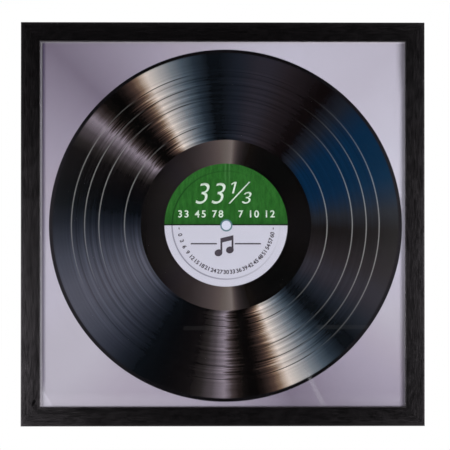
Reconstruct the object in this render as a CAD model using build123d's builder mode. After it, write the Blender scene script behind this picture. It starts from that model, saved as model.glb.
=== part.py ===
from build123d import *
import os

os.makedirs("parts", exist_ok=True)

# A square picture frame for a 12 inch record sleeve, in millimetres.
# +Z is up, the picture faces -Y and the wall is on the +Y side.
# The origin is the middle of the face that the frame stands on.

# The moulding
outer_side = 336.0  # length of a rail along its outer edge
face_width = 16.0  # black border seen from the front
lip_width = 6.0  # how far the lip reaches over the glazing
lip_thickness = 4.5
arris_radius = 0.5  # rounding of the two front edges
back_arris_radius = 0.3  # rounding of the outer back edge

# The sheets in the rebate, front to back
sheet_clearance = 0.5  # from a centred sheet to the rebate's wall
glazing_thickness = 2.0
insert_thickness = 0.3
filler_thickness = 5.0
board_thickness = 3.0
stack_slack = 0.2  # from the back board to the turn buttons
insert_margin = 0.5  # how far a centred print reaches behind the lip
slip_x_share = 0.35  # sideways slip of the loose print, of the lip's width
slip_z_share = 0.27  # downward slip of the loose print, of the lip's width

# The V-nails across the mitres
nail_leg = 4.6
nail_thickness = 0.6
nail_height = 9.0
nail_set = 0.3  # how far below the back face a nail is driven
nail_bend_share = 0.78  # place of the nail's bend across the wall, from the outer edge

# The turn buttons and their screws
button_offset = 85.0  # from the middle of a rail
button_half_width = 4.0
button_tip_radius = 2.8
button_reach = 17.0  # from the screw to the middle of the tip
button_thickness = 1.2
button_lift = 0.9  # how far the finger tip is raised
button_flat_share = 0.55  # the part of the reach that lies flat
button_ramp_share = 0.12  # the part of the reach that climbs to the finger tip
button_bend_radius = 0.9
button_edge_radius = 0.2
screw_radius = 1.5
screw_length = 10.0  # in the wood
screw_point = 2.5  # length of the pointed end
screw_point_radius = 0.2
screw_head_radius = 3.0
screw_head_height = 1.9
screw_head_round = 1.0
cross_length = 3.6
cross_width = 0.8
cross_depth = 1.1
turning_clearance = 0.08  # radial, where a piece turns on a pin
seating_clearance = 0.02  # radial, where a pin sits fast in its hole

# The ring hangers on the back board
hanger_offset = 80.0  # from the middle of the frame
hanger_drop = 60.0  # from the top of the frame to the ring's bar
wire_radius = 1.0
ring_half_width = 7.5  # to the middle of the wire
ring_length = 12.5  # from the bar to the middle of the bow
ring_bend_radius = 2.0
ring_bow_share = 0.9  # radius of the bow's corners, of half the ring's width
ring_joint_gap = 0.2  # between the wire's two ends, inside the knuckle
ring_side_play = 0.5  # from the knuckle's end to the start of the wire's bend
plate_thickness = 0.8
plate_corner_radius = 2.0
plate_margin = 1.4  # from the lower rivet's head to the plate's end
rivet_gap = 1.4  # from the hanging ring to the upper rivet's head
rivet_spacing = 6.7
rivet_radius = 1.5
rivet_head_radius = 2.5
rivet_head_height = 0.7
rivet_head_round = 0.4
clinch_radius = 2.5  # the rivet's spread end, let into the board's front
clinch_depth = 0.5

# The wall bumpers
bumper_radius = 4.2
bumper_top_radius = 3.5
bumper_round = 0.6
bumper_inset = 19.5  # from the end of the rail
wall_gap = 0.5  # from the screw heads to the wall

# Sizes that follow
wall_width = face_width - lip_width
sight_side = outer_side - 2 * face_width
rebate_side = outer_side - 2 * wall_width
sheet_side = rebate_side - 2 * sheet_clearance
insert_side = sight_side + 2 * insert_margin
stack_depth = glazing_thickness + insert_thickness + filler_thickness + board_thickness
moulding_depth = lip_thickness + stack_depth + stack_slack
front_y = -moulding_depth / 2
back_y = moulding_depth / 2
glazing_y = front_y + lip_thickness
insert_y = glazing_y + glazing_thickness
filler_y = insert_y + insert_thickness
board_y = filler_y + filler_thickness
board_back_y = board_y + board_thickness
middle = Vector(0, 0, outer_side / 2)
sheet_z = middle.Z - sheet_clearance  # the sheets stand on the bottom rail
hanger_z = outer_side - hanger_drop
knuckle_bore = wire_radius + turning_clearance
knuckle_radius = knuckle_bore + plate_thickness
plate_half_width = ring_half_width - ring_bend_radius - ring_side_play
upper_rivet = ring_length + wire_radius + rivet_gap + rivet_head_radius
lower_rivet = upper_rivet + rivet_spacing
plate_length = lower_rivet + rivet_head_radius + plate_margin
bumper_thickness = button_thickness + screw_head_height + wall_gap

STANDING = (Align.CENTER, Align.CENTER, Align.MIN)  # a round solid built up from its foot
STEEP_SHARE = 0.5  # a face whose normal rises less than this is a side

# Each side is the bottom one turned about the frame's middle.
SIDE_TURNS = {"bottom": 0, "left": 90, "top": 180, "right": 270}

# The two ends of each side, as seen from the front, by the sign of the distance along it.
SIDE_ENDS = {
    "bottom": {"left": 1, "right": -1},
    "left": {"upper": 1, "lower": -1},
    "top": {"right": 1, "left": -1},
    "right": {"lower": 1, "upper": -1},
}


def turned(direction, side):
    """A direction on the bottom side, turned to another side."""
    return Vector(*direction).rotate(Axis.Y, SIDE_TURNS[side])


def edge_point(side):
    """The middle of a side's outer edge, halfway through the moulding."""
    return middle + turned((0, 0, -1), side) * (outer_side / 2)


def section_plane(side):
    """Across a rail: x runs towards the wall, y inwards from the outer edge."""
    return Plane(edge_point(side), x_dir=(0, 1, 0), z_dir=turned((1, 0, 0), side))


def rail_back_plane(side, along=0.0):
    """On a rail's back face, in the middle of its width: x along the rail, y inwards."""
    x_dir = turned((-1, 0, 0), side)
    inwards = turned((0, 0, 1), side)
    origin = edge_point(side) + Vector(0, back_y, 0) + inwards * (wall_width / 2) + x_dir * along
    return Plane(origin, x_dir=x_dir, z_dir=(0, 1, 0))


def upright_plane(x, y, z):
    """Seen from the wall: x runs to the right there, y up and z towards the wall."""
    return Plane((x, y, z), x_dir=(-1, 0, 0), z_dir=(0, 1, 0))


def hanger_plane(place):
    """On the back board's back, behind the bar of the left (-1) or right (1) ring."""
    return upright_plane(place * hanger_offset, board_back_y, hanger_z)


def keep(part, label):
    """Names a finished piece and writes its file."""
    part.label = label
    export_step(part, f"parts/{label}.step")


# V-nails: one bent steel strip across each mitre, driven in from the back
nail_bend = outer_side / 2 - nail_bend_share * wall_width
with BuildPart() as corner_v_nails:
    for side in SIDE_TURNS:
        corner = middle + turned((-1, 0, -1), side) * nail_bend
        nail_head = corner + Vector(0, back_y - nail_set, 0)
        with BuildSketch(Plane(nail_head, x_dir=turned((-1, 0, 0), side), z_dir=(0, -1, 0))):
            with BuildLine():
                Polyline(
                    (0, 0),
                    (nail_leg, 0),
                    (nail_leg, nail_thickness),
                    (nail_thickness, nail_thickness),
                    (nail_thickness, nail_leg),
                    (0, nail_leg),
                    close=True,
                )
            make_face()
        extrude(amount=nail_height)
keep(corner_v_nails.part, "corner_v_nails")

# Rails: an L-shaped moulding, mitred at both ends, with two screw holes and the nails' slots
for side, ends in SIDE_ENDS.items():
    with BuildPart() as rail:
        with BuildSketch(section_plane(side)):
            with BuildLine():
                Polyline(
                    (front_y, 0),
                    (front_y, face_width),
                    (glazing_y, face_width),
                    (glazing_y, wall_width),
                    (back_y, wall_width),
                    (back_y, 0),
                    close=True,
                )
            make_face()
            fillet(vertices().group_by(Axis.X)[0], arris_radius)
            fillet(vertices().group_by(Axis.X)[-1].sort_by(Axis.Y)[0], back_arris_radius)
        extrude(amount=outer_side / 2, both=True)
        for end in (-1, 1):
            mitre = Plane(middle, z_dir=turned((end, 0, 1), side))
            split(bisect_by=mitre, keep=Keep.BOTTOM)
        for end in ends.values():
            with BuildSketch(rail_back_plane(side, end * button_offset)):
                Circle(screw_radius + seating_clearance)
            extrude(amount=-screw_length, mode=Mode.SUBTRACT)
        add(corner_v_nails.part, mode=Mode.SUBTRACT)
    keep(rail.part, f"{side}_rail")

# Glazing: a clear sheet behind the lip
with BuildPart() as glazing_sheet:
    with BuildSketch(upright_plane(0, glazing_y, sheet_z)):
        Rectangle(sheet_side, sheet_side)
    extrude(amount=glazing_thickness)
keep(glazing_sheet.part, "glazing_sheet")

# Printed insert: a loose sheet cut a little larger than the opening, slipped right and down
slip_x = slip_x_share * lip_width
slip_z = slip_z_share * lip_width
with BuildPart() as printed_insert:
    with BuildSketch(upright_plane(slip_x, insert_y, middle.Z - slip_z)):
        Rectangle(insert_side, insert_side)
    extrude(amount=insert_thickness)
keep(printed_insert.part, "printed_insert")

# Filler board: it takes up the room of a record sleeve
with BuildPart() as filler_board:
    with BuildSketch(upright_plane(0, filler_y, sheet_z)):
        Rectangle(sheet_side, sheet_side)
    extrude(amount=filler_thickness)
keep(filler_board.part, "filler_board")

# Back board: thin fibreboard, drilled for the hangers' rivets and dished for their spread ends
with BuildPart() as back_board:
    with BuildSketch(upright_plane(0, board_y, sheet_z)):
        Rectangle(sheet_side, sheet_side)
    extrude(amount=board_thickness)
    for place in (-1, 1):
        with BuildSketch(hanger_plane(place)):
            with Locations((0, -upper_rivet), (0, -lower_rivet)):
                Circle(rivet_radius + seating_clearance)
        extrude(amount=-board_thickness, mode=Mode.SUBTRACT)
        with BuildSketch(hanger_plane(place).offset(-board_thickness)):
            with Locations((0, -upper_rivet), (0, -lower_rivet)):
                Circle(clinch_radius + seating_clearance)
        extrude(amount=clinch_depth, mode=Mode.SUBTRACT)
keep(back_board.part, "back_board")

# Turn button: a flat steel tab with a raised finger tip, drawn on the rail with y inwards
button_hole = screw_radius + turning_clearance
flat_end = button_flat_share * button_reach
ramp_end = flat_end + button_ramp_share * button_reach
tip_end = button_reach + button_tip_radius


def between_flats(vertex):
    """True for the profile's corners at the two ends of the ramp."""
    return -button_half_width < vertex.X < tip_end


with BuildPart() as turn_button:
    with BuildSketch():
        Circle(button_half_width)
        with Locations((0, button_reach)):
            Circle(button_tip_radius)
        make_hull()
    extrude(amount=button_lift + button_thickness)
    with BuildSketch(Plane.YZ):
        with BuildLine():
            Polyline(
                (-button_half_width, 0),
                (flat_end, 0),
                (ramp_end, button_lift),
                (tip_end, button_lift),
                (tip_end, button_lift + button_thickness),
                (ramp_end, button_lift + button_thickness),
                (flat_end, button_thickness),
                (-button_half_width, button_thickness),
                close=True,
            )
        make_face()
        fillet(vertices().filter_by(between_flats), button_bend_radius)
    extrude(amount=button_half_width, both=True, mode=Mode.INTERSECT)
    upper_faces = faces().filter_by(lambda face: face.normal_at().Z > STEEP_SHARE)
    side_faces = faces().filter_by(lambda face: abs(face.normal_at().Z) < STEEP_SHARE)
    rim = [edge for edge in upper_faces.edges() if edge in side_faces.edges()]
    fillet(rim, button_edge_radius)
    with BuildSketch():
        Circle(button_hole)
    extrude(amount=button_thickness, mode=Mode.SUBTRACT)

# Screw: a pan head with a cross recess, its pointed end in the wood
with BuildPart() as button_screw:
    with Locations((0, 0, screw_point - screw_length)):
        Cylinder(screw_radius, screw_length - screw_point + button_thickness, align=STANDING)
    with Locations((0, 0, -screw_length)):
        Cone(screw_point_radius, screw_radius, screw_point, align=STANDING)
    with Locations((0, 0, button_thickness)):
        Cylinder(screw_head_radius, screw_head_height, align=STANDING)
    head_edge = edges().filter_by(GeomType.CIRCLE).sort_by(Axis.Z)[-1]
    fillet(head_edge, screw_head_round)
    with BuildSketch(Plane.XY.offset(button_thickness + screw_head_height)):
        Rectangle(cross_length, cross_width)
        Rectangle(cross_width, cross_length)
    extrude(amount=-cross_depth, mode=Mode.SUBTRACT)

# Each button is a piece of its own and turns on its screw
with BuildPart() as turn_button_screws:
    for side, ends in SIDE_ENDS.items():
        for name, end in ends.items():
            place = rail_back_plane(side, end * button_offset).location
            keep(turn_button.part.moved(place), f"turn_button_{side}_{name}")
            with Locations(place):
                add(button_screw.part)
keep(turn_button_screws.part, "turn_button_screws")

# Hanger plate: sheet steel rolled round the ring's bar, drawn on the board with y upwards
with BuildPart() as hanger_plate:
    with BuildSketch(Plane.YZ):
        with Locations((0, knuckle_radius)):
            Circle(knuckle_radius)
        Rectangle(plate_length, plate_thickness, align=(Align.MAX, Align.MIN))
        with Locations((0, knuckle_radius)):
            Circle(knuckle_bore, mode=Mode.SUBTRACT)
    extrude(amount=plate_half_width, both=True)
    lower_corners = edges().filter_by(Axis.Z).group_by(Axis.Y)[0]
    fillet(lower_corners, plate_corner_radius)
    with BuildSketch():
        with Locations((0, -upper_rivet), (0, -lower_rivet)):
            Circle(rivet_radius + seating_clearance)
    extrude(amount=plate_thickness, mode=Mode.SUBTRACT)

# Hanger ring: bent wire whose ends meet inside the knuckle, drawn hanging down
with BuildPart() as hanger_ring:
    with BuildLine(Plane.XY.offset(knuckle_radius)) as ring_line:
        FilletPolyline(
            (ring_joint_gap / 2, 0),
            (ring_half_width, 0),
            (ring_half_width, -ring_length),
            (-ring_half_width, -ring_length),
            (-ring_half_width, 0),
            (-ring_joint_gap / 2, 0),
            radius=[
                ring_bend_radius,
                ring_bow_share * ring_half_width,
                ring_bow_share * ring_half_width,
                ring_bend_radius,
            ],
        )
    with BuildSketch(Plane(ring_line.line @ 0, z_dir=ring_line.line % 0)):
        Circle(wire_radius)
    sweep()

# Rivet: a domed head on the plate and a spread end in the board's front
with BuildPart() as hanger_rivet:
    with Locations((0, 0, -board_thickness)):
        Cylinder(rivet_radius, board_thickness + plate_thickness, align=STANDING)
        Cylinder(clinch_radius, clinch_depth, align=STANDING)
    with Locations((0, 0, plate_thickness)):
        Cylinder(rivet_head_radius, rivet_head_height, align=STANDING)
    rivet_edge = edges().filter_by(GeomType.CIRCLE).sort_by(Axis.Z)[-1]
    fillet(rivet_edge, rivet_head_round)

# A left and a right hanger, each a plate, a ring that swings in it and two rivets
with BuildPart() as hanger_rivets:
    for name, place in (("left", -1), ("right", 1)):
        spot = hanger_plane(place).location
        keep(hanger_plate.part.moved(spot), f"hanger_plate_{name}")
        keep(hanger_ring.part.moved(spot), f"hanger_ring_{name}")
        with Locations(spot):
            with Locations((0, -upper_rivet, 0), (0, -lower_rivet, 0)):
                add(hanger_rivet.part)
keep(hanger_rivets.part, "hanger_rivets")

# Wall bumper: a tapered rubber stud on the rail's back
with BuildPart() as bumper:
    Cone(bumper_radius, bumper_top_radius, bumper_thickness, align=STANDING)
    fillet(edges().filter_by(GeomType.CIRCLE).sort_by(Axis.Z)[-1], bumper_round)

# One bumper near each end of the two upright rails
bumper_offset = outer_side / 2 - bumper_inset
for side in ("left", "right"):
    for name, end in SIDE_ENDS[side].items():
        spot = rail_back_plane(side, end * bumper_offset).location
        keep(bumper.part.moved(spot), f"wall_bumper_{side}_{name}")
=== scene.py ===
import math

import bmesh
import bpy
from mathutils import Matrix, Vector, noise


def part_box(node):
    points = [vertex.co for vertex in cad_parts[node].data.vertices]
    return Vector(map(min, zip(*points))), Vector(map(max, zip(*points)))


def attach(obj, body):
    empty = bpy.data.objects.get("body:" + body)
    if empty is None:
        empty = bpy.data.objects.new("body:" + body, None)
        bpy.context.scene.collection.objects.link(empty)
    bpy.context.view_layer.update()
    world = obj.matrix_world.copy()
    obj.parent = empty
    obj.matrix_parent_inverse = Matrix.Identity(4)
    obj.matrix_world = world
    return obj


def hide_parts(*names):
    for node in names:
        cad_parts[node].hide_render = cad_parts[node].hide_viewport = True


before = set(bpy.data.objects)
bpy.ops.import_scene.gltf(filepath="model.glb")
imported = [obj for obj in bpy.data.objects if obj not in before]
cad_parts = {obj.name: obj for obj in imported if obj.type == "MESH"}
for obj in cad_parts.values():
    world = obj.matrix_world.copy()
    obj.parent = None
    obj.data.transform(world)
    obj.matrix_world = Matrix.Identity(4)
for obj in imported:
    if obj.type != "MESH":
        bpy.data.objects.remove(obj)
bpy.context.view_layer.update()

# The moulding: four lengths of fibreboard, wrapped in a satin black film whose fine grain runs along
# each rail, cut at 45 degrees and joined at the corners. The film laps round the outer edge, and the
# back and the rebate show the bare board.
outer_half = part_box("right_rail")[1].x
middle_z = (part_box("bottom_rail")[0].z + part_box("top_rail")[1].z) / 2
front_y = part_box("top_rail")[0].y
sight_half = -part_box("left_rail")[1].x
MM = 1000  # millimetres in a metre; every pattern is laid out in millimetres


def linear(red, green, blue):
    """A colour as it looks on a screen, 0 to 255, turned into light."""
    shares = (value / 255 for value in (red, green, blue))
    light = [s / 12.92 if s <= 0.04045 else ((s + 0.055) / 1.055) ** 2.4 for s in shares]
    return (*light, 1.0)


def feed(tree, socket, value):
    """Links a node's output to an input, or writes a plain value there."""
    if isinstance(value, bpy.types.NodeSocket):
        tree.links.new(value, socket)
    elif value is not None:
        socket.default_value = value


def shader(tree, kind, *values, **options):
    """Adds a node, sets its options and feeds its inputs in order."""
    made = tree.nodes.new("ShaderNode" + kind)
    for option, value in options.items():
        setattr(made, option, value)
    for place, value in enumerate(values):
        feed(tree, made.inputs[place], value)
    return made


def maths(tree, operation, *values):
    return shader(tree, "Math", *values, operation=operation).outputs[0]


def fade(tree, value, low, high, to_low=0.0, to_high=1.0, curve="LINEAR"):
    """Carries a value from one range to another and holds it at both ends."""
    made = shader(tree, "MapRange", value, low, high, to_low, to_high, interpolation_type=curve)
    return made.outputs[0]


def blend(tree, factor, first, second, mode="MIX"):
    """Mixes two colours."""
    made = tree.nodes.new("ShaderNodeMix")
    made.data_type = "RGBA"
    made.blend_type = mode
    feed(tree, made.inputs["Factor"], factor)
    feed(tree, made.inputs[6], first)
    feed(tree, made.inputs[7], second)
    return made.outputs[2]


def grey(tree, value):
    """A value as a colour."""
    return shader(tree, "CombineColor", value, value, value).outputs[0]


def cloud(tree, vector, scale, detail=3.0, roughness=0.5, dimensions="3D"):
    made = tree.nodes.new("ShaderNodeTexNoise")
    made.noise_dimensions = dimensions
    feed(tree, made.inputs["W" if dimensions == "1D" else "Vector"], vector)
    feed(tree, made.inputs["Scale"], scale)
    feed(tree, made.inputs["Detail"], detail)
    feed(tree, made.inputs["Roughness"], roughness)
    return made.outputs[0]


def stretched(tree, vector, scale):
    return shader(tree, "Mapping", vector, None, None, scale).outputs[0]


def drawn_out(tree, vector, turn, lengths):
    """Turns a pattern in the plane of the picture and then draws it out along its own axes."""
    turned = shader(tree, "Mapping", vector, None, (0, turn, 0), lengths, vector_type="TEXTURE")
    return turned.outputs[0]


def millimetres(tree, middle=(0, 0, 0)):
    """Object coordinates in millimetres, measured from a point of the object."""
    place = shader(tree, "TexCoord").outputs["Object"]
    offset = [-MM * value for value in middle]
    return shader(tree, "Mapping", place, offset, None, (MM, MM, MM)).outputs[0]


def new_finish(name, **plain):
    """A material with its Principled shader, whose unchanging values are set by name."""
    made = bpy.data.materials.new(name)
    made.use_nodes = True
    surface = made.node_tree.nodes["Principled BSDF"]
    for socket, value in plain.items():
        surface.inputs[socket.replace("_", " ")].default_value = value
    return made, made.node_tree, surface


def roughen(tree, surface, height, depth, strength=1.0):
    """A bump whose full height is depth, in metres."""
    made = tree.nodes.new("ShaderNodeBump")
    made.inputs["Strength"].default_value = strength
    made.inputs["Distance"].default_value = depth
    feed(tree, made.inputs["Height"], height)
    feed(tree, surface.inputs["Normal"], made.outputs[0])


def new_effect(name, inputs, outputs):
    """A group of nodes that several materials share."""
    group = bpy.data.node_groups.new(name, "ShaderNodeTree")
    for label, kind in inputs:
        group.interface.new_socket(label, in_out="INPUT", socket_type="NodeSocket" + kind)
    for label in outputs:
        group.interface.new_socket(label, in_out="OUTPUT", socket_type="NodeSocketFloat")
    return group, group.nodes.new("NodeGroupInput").outputs, group.nodes.new("NodeGroupOutput").inputs


def effect(tree, group, *values):
    made = tree.nodes.new("ShaderNodeGroup")
    made.node_tree = group
    for place, value in enumerate(values):
        feed(tree, made.inputs[place], value)
    return made.outputs


def dress(node, finish):
    """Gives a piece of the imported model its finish."""
    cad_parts[node].material_slots[0].material = finish


# Handling marks, for every hard surface: cloudy patches, dust specks and short hairline scratches
handling, given, made = new_effect(
    "handling marks", [("Place", "Vector"), ("Patch", "Float")], ["Patches", "Specks", "Scratches"]
)
patch_scale = maths(handling, "DIVIDE", 1.0, given["Patch"])
patches = cloud(handling, given["Place"], patch_scale, 4.0, 0.6)
specks = cloud(handling, given["Place"], 3.2, 1.0)
one_way = cloud(handling, stretched(handling, given["Place"], (0.06, 1.0, 2.4)), 1.3, 2.0)
other_way = cloud(handling, stretched(handling, given["Place"], (1.9, 1.0, 0.05)), 1.3, 2.0)
feed(handling, made["Patches"], fade(handling, patches, 0.3, 0.7))
feed(handling, made["Specks"], fade(handling, specks, 0.70, 0.78))
scratch = maths(handling, "MAXIMUM", one_way, other_way)
feed(handling, made["Scratches"], fade(handling, scratch, 0.74, 0.80))

# Pressed fibres, for bare board: short strands laid three ways
fibres, given, made = new_effect("pressed fibres", [("Place", "Vector"), ("Strand", "Float")], ["Fibres"])
strand_scale = maths(fibres, "DIVIDE", 1.0, given["Strand"])
total = None
for turn in (0.2, 1.3, 2.3):
    laid = drawn_out(fibres, given["Place"], turn, (3.2, 1.0, 0.5))
    strands = cloud(fibres, laid, strand_scale, 3.0, 0.65)
    total = strands if total is None else maths(fibres, "MAXIMUM", total, strands)
feed(fibres, made["Fibres"], fade(fibres, total, 0.42, 0.72))

# In millimetres, as all sizes of patterns are
film_lap = 1.2  # how far the film reaches round the outer back edge
film_raggedness = 0.7  # how uneven its cut end is
highlight_band = 3.0  # the band beside the outer edge that is painted lighter, a painted highlight
arris = 0.5
rebate_step = 4.6  # from the front face to just behind the lip
nick_spot = (-157.4, front_y * MM, -148.4)
nick_size = (3.4, 1000.0, 1.2)
nick_slope = math.radians(68)
moulding, tree, surface = new_finish(
    "satin black film", Specular_IOR_Level=0.68, Specular_Tint=(1.0, 0.92, 1.0, 1)
)
place = millimetres(tree, (0, 0, middle_z))
x, y, z = shader(tree, "SeparateXYZ", place).outputs
side_x, side_z = maths(tree, "ABSOLUTE", x), maths(tree, "ABSOLUTE", z)
level = maths(tree, "GREATER_THAN", side_z, side_x)  # 1 on the top and bottom rails
upright = maths(tree, "SUBTRACT", 1.0, level)
reach = maths(tree, "MAXIMUM", side_x, side_z)
along = maths(tree, "ADD", maths(tree, "MULTIPLY", x, level), maths(tree, "MULTIPLY", z, upright))
across = maths(tree, "ADD", maths(tree, "MULTIPLY", z, level), maths(tree, "MULTIPLY", x, upright))
rail_place = shader(tree, "CombineXYZ", along, y, across).outputs[0]
patches, specks, scratches = effect(tree, handling, rail_place, 14.0)
grain = cloud(tree, stretched(tree, rail_place, (0.12, 1.0, 1.0)), 1.0, 5.0, 0.7)
film = blend(tree, fade(tree, grain, 0.35, 0.7), linear(4, 4, 4), linear(8, 6, 7))
film = blend(tree, maths(tree, "MULTIPLY", patches, 0.35), film, linear(9, 8, 9))
# The film is painted a little lighter towards the outer edge, a painted sheen, and lighter still in the band
# beside it, a painted highlight
paler = fade(tree, reach, sight_half * MM + 2.0, outer_half * MM, 0.0, 0.08)
film = blend(tree, paler, film, linear(30, 28, 29))
edge_highlight = fade(tree, reach, outer_half * MM - highlight_band, outer_half * MM, 0.0, 0.7, "SMOOTHSTEP")
film = blend(tree, edge_highlight, film, linear(30, 28, 29))
film = blend(tree, maths(tree, "MULTIPLY", specks, 0.25), film, linear(50, 48, 46))
film = blend(tree, maths(tree, "MULTIPLY", scratches, 0.3), film, linear(38, 37, 37))

# Worn film on the two front edges, painted lighter as a highlight, a hairline along each mitre and a nick
# beside the lower left one
outer_edge_band = fade(tree, reach, outer_half * MM - arris, outer_half * MM - 0.1)
front_edge = fade(tree, y, front_y * MM + 0.1, front_y * MM + arris, 1.0, 0.0)
edge_wear_and_highlight = maths(tree, "MULTIPLY", outer_edge_band, front_edge)
# The outer front edge is painted paler: a painted highlight along with a little wear
film = blend(tree, maths(tree, "MULTIPLY", edge_wear_and_highlight, 0.4), film, linear(58, 57, 58))
from_mitre = maths(tree, "ABSOLUTE", maths(tree, "SUBTRACT", side_x, side_z))
mitre = fade(tree, from_mitre, 0.03, 0.12, 1.0, 0.0)
film = blend(tree, maths(tree, "MULTIPLY", mitre, 0.5), film, linear(3, 3, 3))
to_nick = shader(tree, "VectorMath", place, nick_spot, operation="SUBTRACT").outputs[0]
to_nick = drawn_out(tree, to_nick, -nick_slope, nick_size)
from_nick = shader(tree, "VectorMath", to_nick, operation="LENGTH").outputs["Value"]
nick = fade(tree, from_nick, 0.5, 1.1, 1.0, 0.0)
film = blend(tree, nick, film, linear(4, 4, 5))

# The bare board behind the film
strands = effect(tree, fibres, rail_place, 1.6)[0]
bare = blend(tree, strands, linear(122, 92, 63), linear(171, 138, 101))
bare = blend(tree, maths(tree, "MULTIPLY", patches, 0.3), bare, linear(134, 104, 74))
ragged = maths(tree, "MULTIPLY", cloud(tree, rail_place, 0.8, 3.0), film_raggedness)
film_end = maths(tree, "ADD", reach, ragged)
inside = maths(tree, "LESS_THAN", film_end, outer_half * MM - film_lap + film_raggedness / 2)
in_rebate = maths(tree, "GREATER_THAN", y, front_y * MM + rebate_step)
uncovered = maths(tree, "MULTIPLY", inside, in_rebate)
feed(tree, surface.inputs["Base Color"], blend(tree, uncovered, film, bare))

# The film is smoother towards the opening, and dull where it folds over the lip
folded = fade(tree, reach, sight_half * MM + 0.3, sight_half * MM + 0.6, 0.3, 0.0)
satin = fade(tree, patches, 0.0, 1.0, 0.16, 0.185)
satin = maths(tree, "ADD", satin, fade(tree, grain, 0.3, 0.7, -0.05, 0.05))
smoother = fade(tree, reach, sight_half * MM + 1.0, outer_half * MM - 1.0, 0.93, 1.02)
satin = maths(tree, "MULTIPLY", satin, smoother)
satin = maths(tree, "MULTIPLY", satin, fade(tree, nick, 0.0, 1.0, 1.0, 0.55))
satin = maths(tree, "ADD", satin, folded)
dull = blend(tree, uncovered, grey(tree, satin), (0.86, 0.86, 0.86, 1))
feed(tree, surface.inputs["Roughness"], dull)
relief = maths(tree, "MULTIPLY", grain, 0.25)
board_relief = maths(tree, "MULTIPLY", maths(tree, "MULTIPLY", strands, uncovered), 0.6)
relief = maths(tree, "ADD", relief, board_relief)
roughen(tree, surface, relief, 0.00008, 0.5)
for side in ("top", "bottom", "left", "right"):
    dress(f"{side}_rail", moulding)


# Corner V-nails: bent strips of blued steel, one across each mitre, driven in flush from the back.
def steel_finish(name, dark, bright, low, high, patch):
    """Plated or blued steel: cloudy plating, hairline scratches and specks of dirt."""
    made, tree, surface = new_finish(name, Metallic=1.0)
    place = millimetres(tree)
    patches, specks, scratches = effect(tree, handling, place, patch)
    colour = blend(tree, patches, linear(*dark), linear(*bright))
    colour = blend(tree, maths(tree, "MULTIPLY", specks, 0.5), colour, linear(84, 76, 68))
    colour = blend(tree, maths(tree, "MULTIPLY", scratches, 0.35), colour, linear(226, 226, 229))
    fine = cloud(tree, place, 1.6, 3.0, 0.6)
    dull = maths(tree, "ADD", fade(tree, patches, 0.0, 1.0, low, high), maths(tree, "MULTIPLY", specks, 0.2))
    dull = maths(tree, "ADD", dull, fade(tree, fine, 0.3, 0.7, -0.03, 0.03))
    feed(tree, surface.inputs["Base Color"], colour)
    feed(tree, surface.inputs["Roughness"], dull)
    roughen(tree, surface, maths(tree, "SUBTRACT", fine, scratches), 0.00002, 0.2)
    return made


dress("corner_v_nails", steel_finish("blued steel", (70, 74, 84), (126, 128, 134), 0.34, 0.5, 3.0))

# Glazing: a clear sheet 2 mm thick, ground square at its edges. It lies loose behind the lip and
# carries wiping marks: a faint all-over bloom and one long milky smear low on the right.
glass_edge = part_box("glazing_sheet")[1].x * MM
smear_spot = (80.0, 0, -143.0)
smear_size = (36.0, 1000.0, 3.0)  # half its length and half its width; it has no edge in depth
smear_slope = math.radians(-63)
smear_milkiness = 0.05
clear, tree, surface = new_finish(
    "clear glazing", Base_Color=(1, 1, 1, 1), Transmission_Weight=1.0, IOR=1.5
)
place = millimetres(tree, (0, 0, middle_z))
wiping = drawn_out(tree, place, -0.45, (80.0, 1.0, 6.0))
wiped = fade(tree, cloud(tree, wiping, 1.0, 3.0, 0.6), 0.62, 0.78)
from_edge = maths(tree, "ABSOLUTE", shader(tree, "SeparateXYZ", place).outputs[0])
ground = fade(tree, from_edge, glass_edge - 0.05, glass_edge - 0.01)
bloom = maths(tree, "MULTIPLY", wiped, 0.05)
feed(tree, surface.inputs["Roughness"], maths(tree, "ADD", bloom, maths(tree, "MULTIPLY", ground, 0.3)))
to_smear = shader(tree, "VectorMath", place, smear_spot, operation="SUBTRACT").outputs[0]
to_smear = drawn_out(tree, to_smear, -smear_slope, smear_size)
from_smear = shader(tree, "VectorMath", to_smear, operation="LENGTH").outputs["Value"]
smear = fade(tree, from_smear, 0.35, 1.0, smear_milkiness, 0.0, "SMOOTHSTEP")
milk = shader(tree, "BsdfDiffuse", (0.7, 0.7, 0.74, 1)).outputs[0]
smeared = shader(tree, "MixShader", smear, surface.outputs[0], milk).outputs[0]
light = shader(tree, "LightPath").outputs
passing = maths(tree, "MAXIMUM", light["Is Shadow Ray"], light["Is Diffuse Ray"])
through = shader(tree, "BsdfTransparent").outputs[0]
pane = shader(tree, "MixShader", passing, smeared, through).outputs[0]
feed(tree, tree.nodes["Material Output"].inputs["Surface"], pane)
dress("glazing_sheet", clear)

# Printed insert: a sheet of coated paper the size of the opening, with a picture of a disc on a
# brushed metal ground. It lies loose behind the glazing and has slipped down and to the right.
insert_low, insert_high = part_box("printed_insert")
insert_middle = (insert_low + insert_high) / 2
insert_half = (insert_high.x - insert_low.x) / 2
paper_thickness = 0.00022
paper_back = insert_high.y
paper_wave = 0.00003


def paper_rise(x, z):
    """How far the loose sheet stands off the board behind it, most along its edges."""
    swell = 0.5 + 0.5 * noise.noise(Vector((x * 9, 0, z * 9)))
    to_edge = max(abs(x), abs(z)) / insert_half
    return paper_wave * swell * to_edge**2


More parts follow.
